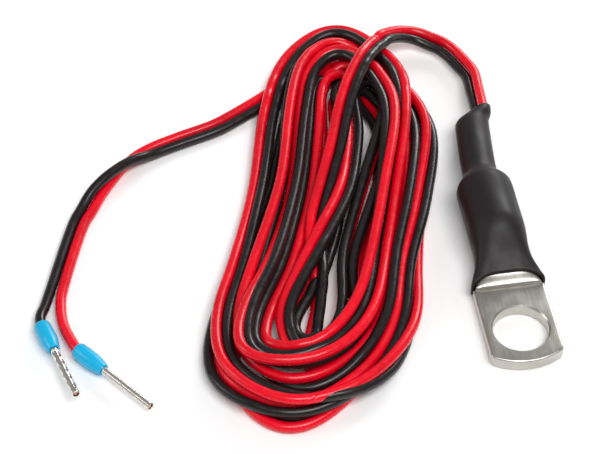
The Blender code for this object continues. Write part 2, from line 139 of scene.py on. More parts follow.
# The lead goes on over the hank's top fold, down through its middle, round inside its bottom fold and up
# again: X, Y and Z in millimetres, roll in degrees
LEAD_OVER_HANK = [
    (-15.1, 49.9, 8.4, 4.0),
    (-17.8, 45.7, 9.0, 0.0),
    (-21.0, 39.7, 9.2, 0.0),
    (-23.9, 32.6, 8.8, 0.0),
    (-26.4, 25.0, 7.8, 0.0),
    (-28.9, 19.0, 6.4, 0.0),
    (-31.6, 13.0, 5.0, 0.0),
    (-34.2, 6.5, 3.6, -20.0),
    (-35.0, -0.5, 2.6, -50.0),
    (-35.6, -8.0, 2.2, -90.0),
    (-38.0, -16.0, 2.1, -75.0),
    (-39.9, -22.5, 1.8, -50.0),
    (-38.9, -27.6, 1.5, -30.0),
    (-34.6, -28.4, 1.5, -30.0),
    (-30.2, -23.6, 1.6, -40.0),
    (-28.0, -14.0, 2.0, -70.0),
]
# Each turn by the main station it starts from: how far in from the outline, planned height, and roll in
# degrees
TURNS = [
    (
        "MR",
        [12.2, 11.5, 9.6],
        [2.2, 2.2, 2.2],
        [-90, -90, -90],
    ),
    (
        "T",
        [16.4, 13.6, 16.8, 16.6, 17.0, 19.0, 16.5, 15.2, 14.4, 9.8],
        [2.2, 2.2, 2.2, 2.2, 2.2, 2.2, 2.2, 2.2, 2.2, 2.2],
        [-90, -90, -90, -90, -90, -90, -90, -90, -90, -90],
    ),
    (
        "B",
        [14.0, 12.0, 11.0, 11.5, 10.5],
        [2.2, 2.2, 2.2, 2.2, 2.2],
        [-90, -90, -90, -90, -60],
    ),
    (
        "T",
        [14.0, 11.0, 10.6, 10.0, 10.5, 16.0, 13.0, 9.2, 10.2, 9.0],
        [3.0, 3.0, 3.5, 4.2, 4.5, 3.6, 4.5, 5.0, 5.0, 4.6],
        [60, 150, 180, 210, 180, 90, 90, 90, 90, 80],
    ),
    (
        "T",
        [9.2, 7.8, 8.2, 7.3, 7.3, 12.6, 9.8, 6.9, 7.8, 6.7],
        [4.4, 4.6, 5.0, 5.4, 4.8, 4.0, 5.0, 5.6, 5.6, 4.6],
        [30, 30, 60, 80, 90, 90, 90, 90, 90, 80],
    ),
    (
        "T",
        [1.5, 1.4, 0.9, 1.0, 3.8, 4.6, 1.6, 2.2, 3.4, 3.2],
        [3.4, 4.4, 5.4, 6.2, 7.0, 7.0, 5.0, 3.0, 2.4, 3.0],
        [55, 55, 45, 45, 60, 75, 75, 60, 80, 100],
    ),
    (
        "T",
        [5.0, 5.0, 5.5, 4.5, 8.2, 9.4, 7.4, 5.0, 5.0, 4.6],
        [3.6, 4.2, 4.5, 4.6, 3.6, 3.5, 3.6, 5.6, 5.6, 4.6],
        [120, 100, 90, 90, 90, 90, 180, 260, 260, 200],
    ),
    (
        "T",
        [8.0, 6.5, 4.0, 1.8, 1.4, 3.6, 2.8, 3.4, 3.0, 2.0],
        [1.5, 1.5, 1.5, 1.6, 2.6, 4.6, 3.6, 4.4, 5.2, 5.2],
        [180, 180, 180, 180, 180, 130, 140, 150, 180, 120],
    ),
    (
        "T",
        [11.5, 10.0, 12.0, 9.0, 3.6, 1.6, 3.6, 6.0, 6.6, 6.0],
        [1.2, 1.2, 1.2, 1.3, 1.3, 1.4, 1.8, 4.0, 4.0, 4.0],
        [90, 140, 180, 180, 90, 60, 90, 270, 270, 200],
    ),
    ("T", [7.5], [1.2], [0]),
]
# After this many entries of TURNS, the pair turns round inside the top fold and comes down across the hank's
# middle to the lower left: X, Y and Z in millimetres, roll in degrees
TOP_RUN_AFTER = 2
TOP_RUN = [
    (-13.0, 39.0, 3.0, -60.0),
    (-13.6, 43.0, 3.6, -40.0),
    (-16.8, 45.4, 4.2, -20.0),
    (-20.2, 43.4, 4.8, -10.0),
    (-21.6, 39.0, 5.4, 0.0),
    (-21.9, 31.6, 6.5, 0.0),
    (-24.1, 23.3, 6.5, 0.0),
    (-26.8, 14.6, 6.2, 0.0),
    (-31.0, 6.6, 5.6, 0.0),
    (-35.5, -1.0, 4.8, 0.0),
    (-40.2, -8.8, 3.6, 0.0),
    (-43.4, -16.0, 2.4, -20.0),
]

# Planning and settling of the hank: lengths in millimetres
ROUTE_STEPS = 16
SETTLE_STEP = 1.4
ROUNDING_PASSES = 9  # over the planned route, so that its corners are arcs
ROUNDING = 0.25  # times the route's second difference, at each pass
START_SPREAD = 1.6  # the planned heights above the floor start this many times as great
SETTLE_ROUNDS = 600
EARLY_PART = 0.65  # of the rounds, with the first of both values below
SINK = (0.03, 0.012)  # each round
HOLD = (0.06, 0.02)  # share of the way back to the planned route, each round
SEARCH_EVERY = 6  # rounds
PUSHES = 2  # in each round
REACH = 2.16  # points of two strands nearer than this are pushed apart
NEAR = 3.4  # points nearer than this are looked at until the next search
OWN_LENGTH = 5.0  # of a core that doesn't push itself
PARTNER_POINTS = 2  # to each side on the other core that don't push either
PUSH = np.array((0.25, 0.25, 0.6))  # share of a push along X, Y and Z
PUSH_SHARING = 0.6  # pushes that meet on a point are divided by their number to this power
BEND_STRIDES = (1, 3, 6)  # points, for keeping the pair stiff over short and long bends

# Ring lug, in millimetres
HOLE_RADIUS = 5.25
HOLE_TO_TIP = 8.0
PALM_HALF_WIDTH = 6.85
PALM_THICKNESS = 2.7
PALM_CORNER_RADIUS = 1.2
TIP_ARC_RADIUS = 12.5
TIP_Y = -31.5
PALM_REAR_Y = -13.3
PALM_EDGE_RADIUS = 0.38
BARREL_AXIS_Z = 5.6
BARREL_BORE_RADIUS = 3.5
BORE_BOTTOM_Y = -1.5
BARREL_MOUTH_Y = 9.0
BARREL_LEAD_IN = 0.4
HOLE_FLARE = 0.3
HOLE_TOOL_PAST = 0.5
LUG_SIDES = 96
LUG_SECTIONS = [  # Y, half width, underside Z, top Z, squareness (2 is round)
    (-14.2, 5.9, 1.2, 1.9, 5.0),
    (-13.7, 6.3, 1.0, 2.6, 6.0),
    (-13.45, 6.38, 0.95, 3.15, 6.0),
    (-13.15, 6.4, 0.93, 3.5, 6.0),
    (-12.6, 6.3, 0.9, 3.78, 5.0),
    (-11.0, 5.7, 0.9, 4.4, 4.0),
    (-8.5, 4.8, 0.9, 6.1, 2.8),
    (-6.0, 4.5, 0.9, 8.1, 2.3),
    (-4.0, 4.6, 0.9, 9.5, 2.1),
    (-2.0, 4.7, 0.9, 10.2, 2.0),
    (0.0, 4.7, 0.9, 10.3, 2.0),
    (4.0, 4.7, 0.9, 10.3, 2.0),
    (8.6, 4.7, 0.9, 10.3, 2.0),
    (9.0, 4.5, 1.1, 10.1, 2.0),
]

# Heat-shrink sleeve, in millimetres: Y, centre X and Z, half width and height, squareness, roll in degrees
SLEEVE_WALL = 0.55
SLEEVE_END_WALL = 0.45
SLEEVE_FRONT_Y = -13.0
SLEEVE_FRONT_ARC = 1.6
SLEEVE_ARC_FADE_Y = -8.0
SLEEVE_END_Y = 31.5
SLEEVE_THINS_Y = (26.0, 30.0)
SLEEVE_SIDES = 112
SLEEVE_STATIONS = ((SLEEVE_FRONT_Y, 8.0, 60), (8.2, SLEEVE_END_Y, 90))  # from, to, count
SLEEVE_SECTIONS = [
    (-13.25, 0.0, 2.22, 7.25, 2.13, 6.0, 0.0),
    (-12.6, 0.0, 2.35, 7.15, 2.3, 5.0, 0.0),
    (-11.0, 0.0, 2.65, 6.55, 2.6, 4.0, 0.0),
    (-8.5, 0.0, 3.5, 5.65, 3.45, 2.8, 0.0),
    (-6.0, 0.0, 4.5, 5.35, 4.45, 2.3, 0.0),
    (-4.0, 0.0, 5.2, 5.45, 5.15, 2.1, 0.0),
    (-2.0, 0.0, 5.55, 5.55, 5.5, 2.0, 0.0),
    (0.0, 0.0, 5.6, 5.55, 5.55, 2.0, 0.0),
    (4.0, 0.0, 5.6, 5.55, 5.55, 2.0, 0.0),
    (8.7, 0.0, 5.6, 5.55, 5.55, 2.0, 0.0),
    (10.2, 0.0, 5.6, 5.1, 5.1, 2.0, 0.0),
    (11.4, 0.0, 5.6, 4.3, 4.25, 2.0, 0.0),
    (12.6, 0.05, 5.55, 3.7, 3.5, 2.0, 0.0),
    (14.0, 0.15, 5.5, 3.45, 3.1, 2.0, 0.0),
    (18.0, 0.5, 5.3, 3.45, 3.05, 2.0, 0.0),
    (22.0, 0.95, 5.1, 3.45, 3.05, 2.0, 0.0),
    (27.0, 1.55, 4.8, 3.45, 3.05, 2.0, 0.0),
    (28.6, 1.9, 4.7, 3.4, 2.9, 2.0, 10.0),
    (30.0, 2.95, 4.65, 3.25, 2.45, 2.1, 35.0),
    (31.5, 3.85, 4.6, 2.9, 1.85, 2.2, 50.0),
]

# Ferrules, in millimetres: (along, radius) from the collar's back
COLLAR_PROFILE = [
    (0.0, 1.3),
    (0.12, 1.42),
    (0.4, 1.56),
    (0.9, 1.64),
    (2.5, 1.69),
    (4.2, 1.67),
    (4.9, 1.6),
    (5.8, 1.43),
    (6.6, 1.25),
    (7.0, 1.15),
    (7.1, 1.05),
]
COLLAR_BORE = [(7.1, 0.84), (4.3, 0.84), (4.3, 1.16), (0.0, 1.16)]
COLLAR_SIDES = 48
FERRULE_TUBE_Y = (4.6, 19.4)
FERRULE_TUBE_RADIUS = 0.75
FERRULE_TUBE_BORE = 0.58
FERRULE_TUBE_EDGE = 0.08
FERRULE_TUBE_RINGS = 90
FERRULE_TUBE_SIDES = 40
STRANDS_Y = (4.6, 19.15)
STRAND_RADIUS = 0.145
STRAND_SIDES = 8
STRAND_RINGS = 12
STRAND_TWIST = 0.35  # radians to the millimetre
STRAND_ROUNDS = ((1, 0.0), (6, 0.27))  # how many wires, and how far out
CRIMPED_Y = (7.4, 19.0)
CRIMPED_FADES = (0.6, 0.9)
CRIMPED_TOP = 0.72  # of the tube's radius
CRIMPED_LIFT = 0.12  # of the tube's radius, at its underside
CRIMP_FIRST = 8.3
CRIMP_PITCH = 2.05
CRIMP_COUNT = 5
CRIMP_DEPTH = 0.17
CRIMP_SLOPE = 0.42
CRIMP_REACH = 1.6  # slopes out from a dent's middle to its rim


# Curves and meshes


def catmull_rom(points, steps):
    """A smooth curve through rows of numbers, with this many points to each span."""
    rows = np.asarray(points, float)
    rows = np.vstack([2 * rows[:1] - rows[1:2], rows, 2 * rows[-1:] - rows[-2:-1]])
    t = (np.arange(steps) / steps)[None, :, None]
    a, b, c, d = (rows[i : len(rows) - 3 + i][:, None, :] for i in range(4))
    square = (2 * a - 5 * b + 4 * c - d) * t**2
    cube = (3 * b - a - 3 * c + d) * t**3
    curve = 0.5 * (2 * b + (c - a) * t + square + cube)
    return np.vstack([curve.reshape(-1, rows.shape[1]), rows[-2:-1]])


def distances_along(curve):
    return np.concatenate([[0.0], np.cumsum(np.linalg.norm(np.diff(curve[:, :3], axis=0), axis=1))])


def evenly_spaced(curve, step):
    """The curve's points again, one step apart."""
    along = distances_along(curve)
    count = max(2, round(along[-1] / step))
    at = np.linspace(0, along[-1], count + 1)
    return np.column_stack([np.interp(at, along, column) for column in curve.T])


def unit(rows):
    return rows / np.maximum(np.linalg.norm(rows, axis=-1, keepdims=True), 1e-12)


def add_mesh(name, vertices, faces, finish, sharp=35.0):
    mesh = bpy.data.meshes.new(name)
    mesh.from_pydata([tuple(v) for v in vertices], [], [tuple(f) for f in faces])
    mesh.update()
    mesh.materials.append(finish)
    mesh.shade_smooth()
    mesh.set_sharp_from_angle(angle=math.radians(sharp))
    made = bpy.data.objects.new(name, mesh)
    bpy.context.scene.collection.objects.link(made)
    return made


def skin(name, rings, finish, closed=False, sharp=35.0):
    """A skin over rings of equally many points. Its ends are capped unless it closes on itself."""
    rings = np.asarray(rings, float)
    count, sides = rings.shape[:2]
    index = np.arange(count * sides).reshape(count, sides)
    low = index if closed else index[:-1]
    high = np.roll(index, -1, axis=0) if closed else index[1:]
    quads = np.stack([low, np.roll(low, -1, axis=1), np.roll(high, -1, axis=1), high], axis=-1)
    faces = quads.reshape(-1, 4).tolist()
    if not closed:
        faces.append(index[0, ::-1].tolist())
        faces.append(index[-1].tolist())
    made = add_mesh(name, rings.reshape(-1, 3), faces, finish, sharp)
    face_outwards(made.data)
    return made


def face_outwards(mesh):
    bm = bmesh.new()
    bm.from_mesh(mesh)
    bmesh.ops.recalc_face_normals(bm, faces=bm.faces)
    bm.to_mesh(mesh)
    bm.free()


def ring_angles(sides):
    return 2 * np.pi * np.arange(sides) / sides


def section_ring(y, centre_x, centre_z, half_width, half_height, squareness, roll, angles):
    """A rounded section across Y, in millimetres. Each value is one number, or one for each point."""
    turn = np.radians(roll)
    local = angles - turn
    power = 2 / squareness
    u = half_width * np.sign(np.cos(local)) * np.abs(np.cos(local)) ** power
    v = half_height * np.sign(np.sin(local)) * np.abs(np.sin(local)) ** power
    x = u * np.cos(turn) - v * np.sin(turn)
    z = u * np.sin(turn) + v * np.cos(turn)
    return np.column_stack([centre_x + x, np.broadcast_to(y, x.shape), centre_z + z])


def turned_rings(start, along, profile, sides):
    """Rings about a line, from (distance along, radius) pairs in millimetres."""
    start, along = np.array(start), unit(np.array(along, float))
    side = unit(np.cross(along, (0, 0, 1)))
    up = np.cross(side, along)
    angles = ring_angles(sides)[:, None]
    spoke = side * np.cos(angles) + up * np.sin(angles)
    return np.array([start + along * s * MM + spoke * r * MM for s, r in profile])


def keep_result(target, tools):
    """Makes the modifiers' result the target's own mesh, and takes the cutters away."""
    bpy.context.view_layer.update()
    graph = bpy.context.evaluated_depsgraph_get()
    result = bpy.data.meshes.new_from_object(target.evaluated_get(graph))
    target.modifiers.clear()
    target.data = result
    for tool in tools:
        bpy.data.objects.remove(tool, do_unlink=True)


def boolean(target, tool, operation):
    made = target.modifiers.new(operation.title(), "BOOLEAN")
    made.operation = operation
    made.solver = "EXACT"
    made.object = tool


# Camera, floor and light


def make_camera():
    azimuth, elevation = math.radians(CAMERA_AZIMUTH), math.radians(CAMERA_ELEVATION)
    flat = math.cos(elevation)
    back = Vector((math.sin(azimuth) * flat, -math.cos(azimuth) * flat, math.sin(elevation)))
    data = bpy.data.cameras.new("camera")
    data.lens = CAMERA_LENS
    data.clip_start = 0.01
    data.clip_end = 10.0
    camera = bpy.data.objects.new("camera", data)
    camera.location = Vector(CAMERA_TARGET) + back * CAMERA_DISTANCE
    camera.rotation_euler = (-back).to_track_quat("-Z", "Y").to_euler()
    bpy.context.scene.collection.objects.link(camera)
    bpy.context.scene.camera = camera


def add_light(name, place, size, power, colour):
    data = bpy.data.lights.new(name, "AREA")
    data.shape = "RECTANGLE"
    data.size, data.size_y = size
    data.energy = power
    data.color = colour
    light = bpy.data.objects.new(name, data)
    light.location = place
    light.rotation_euler = (Vector(LIGHT_AIM) - Vector(place)).to_track_quat("-Z", "Y").to_euler()
    bpy.context.scene.collection.objects.link(light)


def make_studio():
    floor_finish = bpy.data.materials.new("studio_floor")
    floor_finish.use_nodes = True
    shader = floor_finish.node_tree.nodes["Principled BSDF"]
    shader.inputs["Base Color"].default_value = FLOOR_COLOUR
    shader.inputs["Roughness"].default_value = 0.9
    shader.inputs["Specular IOR Level"].default_value = 0.1
    corners = [(x * FLOOR_HALF, y * FLOOR_HALF, 0) for x, y in ((-1, -1), (1, -1), (1, 1), (-1, 1))]
    floor = add_mesh("studio_floor", corners, [(0, 1, 2, 3)], floor_finish)
    for softbox in SOFTBOXES:
        add_light(*softbox)
    world = bpy.data.worlds.new("studio")
    world.use_nodes = True
    world.node_tree.nodes["Background"].inputs["Color"].default_value = (*WHITE, 1.0)
    world.node_tree.nodes["Background"].inputs["Strength"].default_value = WORLD_STRENGTH
    bpy.context.scene.world = world
    bpy.context.scene.view_settings.view_transform = "Standard"


# Materials


class Finish:
    """A Principled material whose colour, roughness and bump follow procedural textures."""

    def __init__(self, name, colour, roughness, metallic=0.0, specular=0.5):
        self.material = bpy.data.materials.new(name)
        self.material.use_nodes = True
        self.tree = self.material.node_tree
        self.shader = self.tree.nodes["Principled BSDF"]
        self.shader.inputs["Base Color"].default_value = (*colour, 1.0)
        self.shader.inputs["Roughness"].default_value = roughness
        self.shader.inputs["Metallic"].default_value = metallic
        self.shader.inputs["Specular IOR Level"].default_value = specular
        self.place = self.tree.nodes.new("ShaderNodeTexCoord").outputs["Object"]

    def stretched(self, scale):
        """Object coordinates scaled apart along X, Y and Z."""
        node = self.tree.nodes.new("ShaderNodeMapping")
        node.inputs["Scale"].default_value = scale
        self.tree.links.new(self.place, node.inputs["Vector"])
        return node.outputs["Vector"]

    def noise(self, scale, detail=3.0, place=None):
        node = self.tree.nodes.new("ShaderNodeTexNoise")
        node.inputs["Scale"].default_value = scale
        node.inputs["Detail"].default_value = detail
        self.tree.links.new(place or self.place, node.inputs["Vector"])
        return node.outputs["Fac"]

    def spread(self, value, low, high, to_low=0.0, to_high=1.0):
        node = self.tree.nodes.new("ShaderNodeMapRange")
        node.inputs["From Min"].default_value = low
        node.inputs["From Max"].default_value = high
        node.inputs["To Min"].default_value = to_low
        node.inputs["To Max"].default_value = to_high
        self.tree.links.new(value, node.inputs["Value"])
        return node.outputs["Result"]

    def multiply(self, first, second):
        node = self.tree.nodes.new("ShaderNodeMath")
        node.operation = "MULTIPLY"
        for socket, value in zip(node.inputs, (first, second)):
            self.tree.links.new(value, socket)
        return node.outputs["Value"]

    def vary_colour(self, value, first, second, low=0.3, high=0.7):
        """From the first colour to the second, as the value goes from low to high."""
        node = self.tree.nodes.new("ShaderNodeMix")
        node.data_type = "RGBA"
        self.tree.links.new(self.spread(value, low, high), node.inputs["Factor"])
        for label, colour in (("A", first), ("B", second)):
            socket = next(s for s in node.inputs if s.name == label and s.type == "RGBA")
            socket.default_value = (*colour, 1.0)
        mixed = next(s for s in node.outputs if s.type == "RGBA")
        self.tree.links.new(mixed, self.shader.inputs["Base Color"])

    def vary_roughness(self, value, smooth, rough, low=0.3, high=0.7):
        """From smooth to rough, as the value goes from low to high."""
        self.tree.links.new(self.spread(value, low, high, smooth, rough), self.shader.inputs["Roughness"])

    def bump(self, height, strength, distance):
        node = self.tree.nodes.new("ShaderNodeBump")
        node.inputs["Strength"].default_value = strength
        node.inputs["Distance"].default_value = distance
        self.tree.links.new(height, node.inputs["Height"])
        self.tree.links.new(node.outputs["Normal"], self.shader.inputs["Normal"])


def pvc(name, colour, other_colour, roughness):
    """Soft PVC insulation: near-even colour, a fine orange-peel skin, and scuffs that change its gloss."""
    finish = Finish(name, colour, roughness, specular=0.42)
    finish.vary_colour(finish.noise(90.0, 2.0), colour, other_colour, 0.35)
    finish.vary_roughness(finish.noise(700.0, 4.0), roughness - 0.06, roughness + 0.1, 0.35)
    finish.bump(finish.noise(1900.0), 0.35, 0.00004)
    return finish.material


def red_pvc():
    return pvc("pvc_red", (0.8, 0.0, 0.015), (0.62, 0.0, 0.01), 0.26)


def black_pvc():
    return pvc("pvc_black", (0.008, 0.005, 0.0055), (0.013, 0.009, 0.01), 0.29)


def heat_shrink():
    finish = Finish("heat_shrink_black", (0.012, 0.009, 0.01), 0.48, specular=0.3)
    finish.vary_colour(finish.noise(120.0), (0.01, 0.008, 0.009), (0.017, 0.013, 0.014))
    finish.vary_roughness(finish.noise(420.0, 4.0, finish.stretched((1.0, 0.4, 1.0))), 0.42, 0.56)
    finish.bump(finish.noise(1300.0, 4.0), 0.3, 0.00005)
    return finish.material


def tin_plate():
    finish = Finish("tin_plate_satin", (0.62, 0.6, 0.56), 0.3, metallic=1.0)
    finish.vary_colour(finish.noise(160.0, 4.0), (0.5, 0.475, 0.43), (0.6, 0.585, 0.55))
    lines = finish.noise(900.0, 4.0, finish.stretched((2.5, 0.25, 1.0)))
    worn_lines = finish.multiply(lines, finish.noise(300.0))
    finish.vary_roughness(worn_lines, 0.26, 0.42, 0.1, 0.45)
    finish.bump(worn_lines, 0.22, 0.00004)
    return finish.material


def bright_tin():
    finish = Finish("tin_plate_bright", (0.78, 0.76, 0.73), 0.22, metallic=1.0)
    grain = finish.noise(1500.0)
    finish.vary_roughness(grain, 0.16, 0.34)
    finish.vary_colour(grain, (0.8, 0.78, 0.74), (0.66, 0.62, 0.57))
    finish.bump(grain, 0.12, 0.00002)
    return finish.material


def bare_copper():
    finish = Finish("copper_strand", (0.76, 0.4, 0.26), 0.34, metallic=1.0)
    tarnish = finish.noise(800.0)
    finish.vary_colour(tarnish, (0.8, 0.43, 0.28), (0.45, 0.22, 0.15), 0.35)
    finish.vary_roughness(tarnish, 0.26, 0.48)
    finish.bump(finish.noise(2600.0, 2.0, finish.stretched((1.0, 0.1, 1.0))), 0.5, 0.00005)
    return finish.material


def soft_solder():
    finish = Finish("solder_dull", (0.6, 0.6, 0.6), 0.3, metallic=1.0)
    grain = finish.noise(1800.0)
    finish.vary_roughness(grain, 0.22, 0.45)
    finish.vary_colour(grain, (0.66, 0.66, 0.65), (0.5, 0.5, 0.5))
    finish.bump(grain, 0.3, 0.00004)
    return finish.material


def collar_plastic():
    finish = Finish("collar_blue", (0.0, 0.42, 0.72), 0.3)
    finish.vary_colour(finish.noise(260.0), (0.0, 0.44, 0.74), (0.0, 0.37, 0.66))
    finish.vary_roughness(finish.noise(900.0), 0.24, 0.4)
    finish.bump(finish.noise(1500.0), 0.25, 0.00005)
    return finish.material


def moulded_case():
    finish = Finish("sensor_case_black", (0.02, 0.02, 0.021), 0.6)
    grain = finish.noise(2400.0)
    finish.vary_roughness(grain, 0.5, 0.72)
    finish.vary_colour(grain, (0.016, 0.016, 0.017), (0.03, 0.03, 0.031))
    finish.bump(grain, 0.5, 0.00006)
    return finish.material


def potting_resin():
    finish = Finish("resin_grey", (0.05, 0.05, 0.055), 0.35)
    bubbles = finish.noise(1100.0, 2.0)
    finish.vary_colour(bubbles, (0.042, 0.042, 0.047), (0.07, 0.07, 0.075))
    finish.vary_roughness(bubbles, 0.25, 0.5)
    finish.bump(bubbles, 0.4, 0.0001)
    return finish.material


# Cord


def offset_cores(pair):
    """Both cores of a pair given as X, Y, Z and roll in degrees: red first, then black."""
    middle = pair[:, :3]
    along = unit(np.gradient(middle, axis=0))
    right = unit(np.cross(along, (0, 0, 1)))
    up = np.cross(right, along)
    roll = np.radians(pair[:, 3:4])
    aside = (right * np.cos(roll) + up * np.sin(roll)) * HALF_PAIR / MM
    return middle + aside, middle - aside


def in_millimetres(route):
    return [(x / MM, y / MM, z / MM, roll) for x, y, z, roll in route]


def station_rows(stops):
    """Rows of the route at stops given by station, with the stations between them filled in evenly."""
    order = list(STATIONS)
    rows = []
    for (name, values), (next_name, next_values) in zip(stops, stops[1:] + stops[-1:]):
        place = order.index(name)
        gap = max(1, (order.index(next_name) - place) % len(order))
        for k in range(gap):
            inward, height, roll = values + (next_values - values) * k / gap
            outer, inner = np.array(STATIONS[order[(place + k) % len(order)]])
            x, y = outer + unit(inner - outer) * inward
            rows.append((x, y, height, roll))
    return rows


def hank_rows():
    """The pair's route through the hank, turn after turn, with the run across its middle among them."""
    parts = [[], []]
    for number, (first, *values) in enumerate(TURNS):
        names = MAIN_STATIONS[MAIN_STATIONS.index(first) :]
        stops = [(name, np.array(stop, float)) for name, *stop in zip(names, *values)]
        parts[number >= TOP_RUN_AFTER].extend(stops)
    return station_rows(parts[0]) + TOP_RUN + station_rows(parts[1])


def close_pairs(points, core, index, own_gap):
    """Which points lie near each other, found on a grid.

    Left out are points a short way along the same core, and the few beside each other on a pair's two cores.
    """
    cell = np.floor(points / NEAR).astype(np.int64)
    cell -= cell.min(axis=0)
    size = cell.max(axis=0) + 3
    key = ((cell[:, 0] + 1) * size[1] + cell[:, 1] + 1) * size[2] + cell[:, 2] + 1
    order = np.argsort(key, kind="stable")
    sorted_key = key[order]
    firsts, seconds = [], []
    for dx in (-1, 0, 1):
        for dy in (-1, 0, 1):
            for dz in (-1, 0, 1):
                other = key + (dx * size[1] + dy) * size[2] + dz
                low = np.searchsorted(sorted_key, other, "left")
                count = np.searchsorted(sorted_key, other, "right") - low
                first = np.repeat(np.arange(len(points)), count)
                within = np.arange(count.sum()) - np.repeat(np.cumsum(count) - count, count)
                second = order[np.repeat(low, count) + within]
                keep = first < second
                firsts.append(first[keep])
                seconds.append(second[keep])
    a, b = np.concatenate(firsts), np.concatenate(seconds)
    apart = np.abs(index[a] - index[b])
    keep = np.where(core[a] == core[b], apart > own_gap, apart > PARTNER_POINTS)
    a, b = a[keep], b[keep]
    keep = np.linalg.norm(points[a] - points[b], axis=1) < NEAR
    return a[keep], b[keep]


def bend_back(offset, stride):
    """How far each point moves to even out its offset with those this many, and twice as many, points away."""
    middle = offset[:, 2 * stride : -2 * stride]
    near = offset[:, stride : -3 * stride] + offset[:, 3 * stride : -stride]
    far = offset[:, : -4 * stride] + offset[:, 4 * stride :]
    move = np.zeros_like(offset)
    move[:, 2 * stride : -2 * stride] = -(far - 4 * near + 6 * middle) / 16
    return move


def settle(cores, pinned, target, rounds):
    """Lets the stiff pair sink and push itself apart, while it keeps near its route seen from above.

    It doesn't part every strand. A pair's cores are held at their distance only point for point, so that one
    can slide ahead of the other and into line with it.
    """
    count = cores.shape[1]
    points = cores.reshape(-1, 3).copy()
    goal = target.reshape(-1, 3)
    route = target * (1.0, 1.0, 0.0)
    free = ~np.tile(pinned, 2)
    core = np.repeat([0, 1], count)
    index = np.tile(np.arange(count), 2)
    own_gap = math.ceil(OWN_LENGTH / SETTLE_STEP)
    floor = CORE_RADIUS / MM
    bond = 2 * HALF_PAIR / MM
    for k in range(rounds):
        if k % SEARCH_EVERY == 0:
            a, b = close_pairs(points, core, index, own_gap)
        late = k >= EARLY_PART * rounds
        points[free, 2] -= SINK[late]
        points[free, :2] += HOLD[late] * (goal[free, :2] - points[free, :2])
        line = points.reshape(2, count, 3)
        for stride in BEND_STRIDES:
            line += bend_back(line - route, stride) * ~pinned[None, :, None]
        for _ in range(PUSHES):
            gap = line[1] - line[0]
            pull = gap * (1 - bond / np.linalg.norm(gap, axis=1, keepdims=True)) * 0.5
            pull[pinned] = 0
            line[0] += pull
            line[1] -= pull
            gap = points[b] - points[a]
            distance = np.linalg.norm(gap, axis=1)
            hit = distance < REACH
            lacking = (REACH - distance[hit]) / np.maximum(distance[hit], 1e-6)
            push = gap[hit] * lacking[:, None] * PUSH
            total = np.zeros_like(points)
            hits = np.zeros(len(points))
            for side, way in ((a[hit], -1), (b[hit], 1)):
                np.add.at(total, side, push * way)
                np.add.at(hits, side, 1)
            points[free] += (total / np.maximum(hits, 1)[:, None] ** PUSH_SHARING)[free]
            low = free & (points[:, 2] < floor)
            points[low, 2] = floor
    return points.reshape(2, count, 3)


def cord_paths():
    """Where the red and the black core run, from the sleeve through the hank to where they part."""
    lead = in_millimetres(LEAD_ROUTE) + LEAD_OVER_HANK
    rows = lead + hank_rows() + in_millimetres(TAIL_ROUTE)
    dense = catmull_rom(rows, ROUTE_STEPS)
    along = distances_along(dense)
    pair = evenly_spaced(dense, SETTLE_STEP)
    at = np.linspace(0, along[-1], len(pair))
    lead_end = along[(len(LEAD_ROUTE) - 1) * ROUTE_STEPS]
    tail_start = along[(len(rows) - len(TAIL_ROUTE) + 1) * ROUTE_STEPS]
    pinned = (at <= lead_end) | (at >= tail_start)
    inner = np.flatnonzero(~pinned)
    for _ in range(ROUNDING_PASSES):
        pair[inner] += ROUNDING * (pair[inner - 1] - 2 * pair[inner] + pair[inner + 1])
    flat = np.stack(offset_cores(pair))
    raised = flat.copy()
    floor = CORE_RADIUS / MM
    raised[:, ~pinned, 2] = floor + (flat[:, ~pinned, 2] - floor) * START_SPREAD
    rounds = SETTLE_ROUNDS
    return settle(raised, pinned, flat, rounds) * MM


def with_end(path, end_route, ferrule):
    """A core's path with its separate end added, into its ferrule's collar."""
    back, along = np.array(ferrule[0]), unit(np.array(ferrule[1], float))
    collar = [back + along * CORD_IN_COLLAR * part for part in (0.0, 0.5, 1.0)]
    guides = path[-END_POINTS:-END_GUIDE_STEP:END_GUIDE_STEP]
    bridge = np.vstack([guides, np.array(end_route), collar])
    end = evenly_spaced(catmull_rom(bridge, END_STEPS), SETTLE_STEP * MM)
    return np.vstack([path[:-END_POINTS], end])


def make_core(name, path, partner, finish):
    """One core as a round tube whose section turns with the way to the other core, and its path."""
    path = catmull_rom(path, 2)
    other = catmull_rom(partner, 2)
    along = unit(np.gradient(path, axis=0))
    toward = np.zeros_like(path)
    shared = min(len(path), len(other))
    previous = other[0] - path[0]
    for i in range(len(path)):
        beside = i < shared and np.linalg.norm(other[i] - path[i]) < PARTNER_REACH * CORE_RADIUS
        way = other[i] - path[i] if beside else previous
        way = way - along[i] * np.dot(way, along[i])
        toward[i] = previous = way / np.linalg.norm(way)
    across = np.cross(along, toward)
    angles = ring_angles(CORD_SIDES)[None, :, None]
    radius = CORE_RADIUS * SKIN_SHARE
    rings = path[:, None] + (toward[:, None] * np.cos(angles) + across[:, None] * np.sin(angles)) * radius
    return skin(name, rings, finish), path


# Lug


